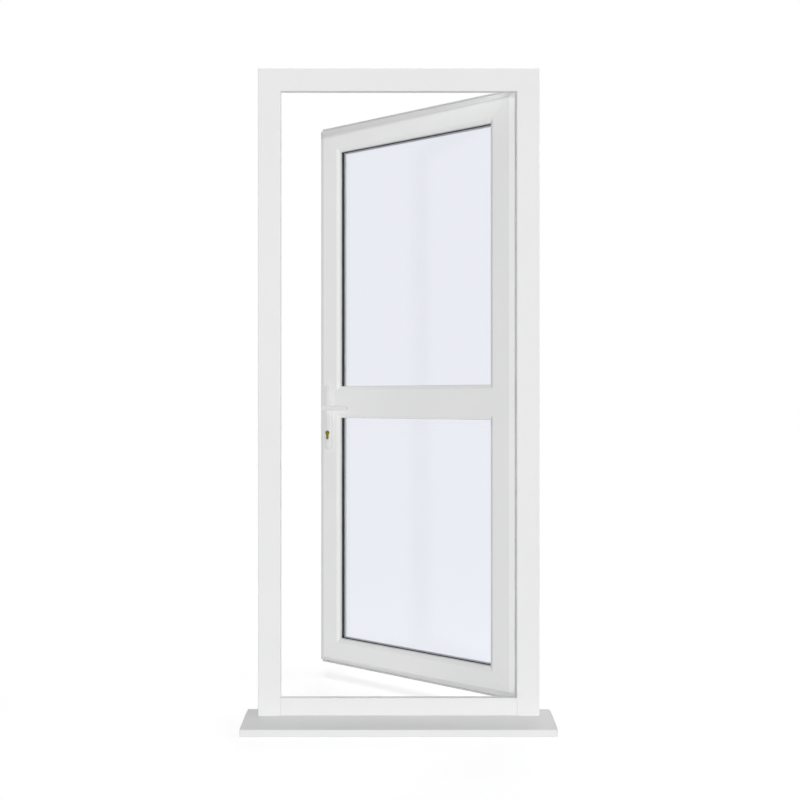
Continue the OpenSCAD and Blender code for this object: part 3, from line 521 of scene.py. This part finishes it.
# a matrix that stands a screw at a point, looking along a direction
def seat(point, facing):
    return Matrix.Translation(point) @ Vector(facing).to_track_quat("Z", "Y").to_matrix().to_4x4()


screwRows = {
    "keepEnd": 0.009, "faceplateEnd": 0.015, "faceplateCount": 7,
    "hingePitch": 0.034, "hingeThick": 0.003, "plateEdge": 0.0045, "flagAcross": (0.012, 0.024, 0.012),
}

bm = bmesh.new()
for name in ("keep_centre", "keep_hook_lower", "keep_hook_upper"):
    low, high = boxOf(name)
    for z in (low.z + screwRows["keepEnd"], high.z - screwRows["keepEnd"]):
        addScrew(bm, seat((high.x, (low.y + high.y) / 2, z), (1, 0, 0)))
addPiece("keepScrews", bm, zincSteel, "frame")

bm = bmesh.new()
plateFace = boxOf("frame_head")[1].y + screwRows["hingeThick"]
for name in ("hinge_plate_lower", "hinge_plate_middle", "hinge_plate_upper"):
    low, high = boxOf(name)
    for step in (-1, 0, 1):
        z = (low.z + high.z) / 2 + step * screwRows["hingePitch"]
        addScrew(bm, seat((high.x - screwRows["plateEdge"], plateFace, z), (0, 1, 0)))
addPiece("hingePlateScrews", bm, zincSteel, "frame")

bm = bmesh.new()
flagFace = leafBox("stile_hinge_side")[1].y + screwRows["hingeThick"]
for name in ("hinge_flag_lower", "hinge_flag_middle", "hinge_flag_upper"):
    low, high = leafBox(name)
    for step, across in zip((-1, 0, 1), screwRows["flagAcross"]):
        z = (low.z + high.z) / 2 + step * screwRows["hingePitch"]
        addScrew(bm, seat((low.x + across, flagFace, z), (0, 1, 0)))
addPiece("hingeFlagScrews", bm, zincSteel, "leaf", leafTurn)

bm = bmesh.new()
low, high = leafBox("lock_faceplate")
count = screwRows["faceplateCount"]
span = high.z - low.z - 2 * screwRows["faceplateEnd"]
for step in range(count):
    z = low.z + screwRows["faceplateEnd"] + span * step / (count - 1)
    addScrew(bm, seat((low.x, (low.y + high.y) / 2, z), (-1, 0, 0)))
addPiece("faceplateScrews", bm, zincSteel, "leaf", leafTurn)

bm = bmesh.new()
low, high = leafBox("handle_screws")
headRadius = (high.x - low.x) / 2
for z in (low.z + headRadius, high.z - headRadius):
    addScrew(bm, seat((low.x + headRadius, high.y, z), (0, 1, 0)))
addPiece("handleScrewHeads", bm, zincSteel, "leaf", leafTurn)
print("screws seated")

# camera at the height of the mid rail, square to the frame
view = {"focalPixels": 853.0, "imagePixels": 800.0, "sensor": 36.0, "place": (0.004, -2.724, 1.0405)}
lens = bpy.data.cameras.new("photoLens")
lens.sensor_width = view["sensor"]
lens.lens = view["sensor"] * view["focalPixels"] / view["imagePixels"]
camera = bpy.data.objects.new("photoCamera", lens)
camera.location = view["place"]
camera.rotation_euler = (math.radians(90), 0, 0)
bpy.context.scene.collection.objects.link(camera)
bpy.context.scene.camera = camera

# studio: soft light all round and a white ground
studio = {
    "around": 0.12, "white": 1.0, "floorGlow": 0.588, "floorColour": (0.65, 0.65, 0.65), "floorRough": 0.9,
    "floorSize": 60.0, "floorBelow": 0.0002,
}


# 1 for rays that come straight from the camera, a reflection or through glass
def seenDirectly(tree):
    path = tree.nodes.new("ShaderNodeLightPath")
    seen = path.outputs["Is Camera Ray"]
    for kind in ("Is Glossy Ray", "Is Transmission Ray"):
        most = tree.nodes.new("ShaderNodeMath")
        most.operation = "MAXIMUM"
        tree.links.new(seen, most.inputs[0])
        tree.links.new(path.outputs[kind], most.inputs[1])
        seen = most.outputs["Value"]
    return seen


world = bpy.data.worlds.new("studio")
world.use_nodes = True
bpy.context.scene.world = world
tree = world.node_tree
backdrop = tree.nodes["Background"]
glow = spread(tree, seenDirectly(tree), studio["around"], studio["white"], (0, 1))
tree.links.new(glow, backdrop.inputs["Strength"])
backdrop.inputs["Color"].default_value = (1, 1, 1, 1)

bm = bmesh.new()
bmesh.ops.create_grid(bm, x_segments=1, y_segments=1, size=studio["floorSize"] / 2)
floorMesh = bpy.data.meshes.new("floor")
bm.to_mesh(floorMesh)
bm.free()
floor = bpy.data.objects.new("floor", floorMesh)
floor.location.z = cadLow.z - studio["floorBelow"]
bpy.context.scene.collection.objects.link(floor)
ground = bpy.data.materials.new("paleGround")
ground.use_nodes = True
tree = ground.node_tree
matt = tree.nodes["Principled BSDF"]
matt.inputs["Base Color"].default_value = (*studio["floorColour"], 1)
matt.inputs["Roughness"].default_value = studio["floorRough"]
matt.inputs["Specular IOR Level"].default_value = 0.0
matt.inputs["Emission Color"].default_value = (1, 1, 1, 1)
glow = spread(tree, seenDirectly(tree), 0.0, studio["floorGlow"], (0, 1))
tree.links.new(glow, matt.inputs["Emission Strength"])
floorMesh.materials.append(ground)

# far lights: strength, spread in degrees, where the light comes from, and whether it casts shadows
lights = {
    "frontLight": (0.78, 2, (0.0, -1.0, 0.02), True),
    "fillLight": (1.3, 14, (0.0, -1.0, 0.0), False),
    "sideLight": (1.2, 60, (0.97, -0.05, 0.15), True),
    "topLight": (0.88, 25, (0.0, -0.12, 0.99), True),
    "lowLight": (0.35, 25, (0.0, -0.1, -0.99), False),
    "backLight": (1.6, 50, (0.3, 0.9, 0.2), True),
    "backLeftLight": (1.2, 15, (-0.6, 0.8, 0.1), True),
}
for name, (strength, width, comesFrom, shadow) in lights.items():
    lampData = bpy.data.lights.new(name, "SUN")
    lampData.energy = strength
    lampData.angle = math.radians(width)
    lampData.use_shadow = shadow
    lamp = bpy.data.objects.new(name, lampData)
    lamp.rotation_euler = Vector(comesFrom).to_track_quat("Z", "Y").to_euler()
    lamp.visible_glossy = False  # the glass shows the white surroundings and not the lights
    lamp.visible_transmission = False
    bpy.context.scene.collection.objects.link(lamp)
bpy.context.scene.view_settings.view_transform = "Standard"
print("camera and studio set")
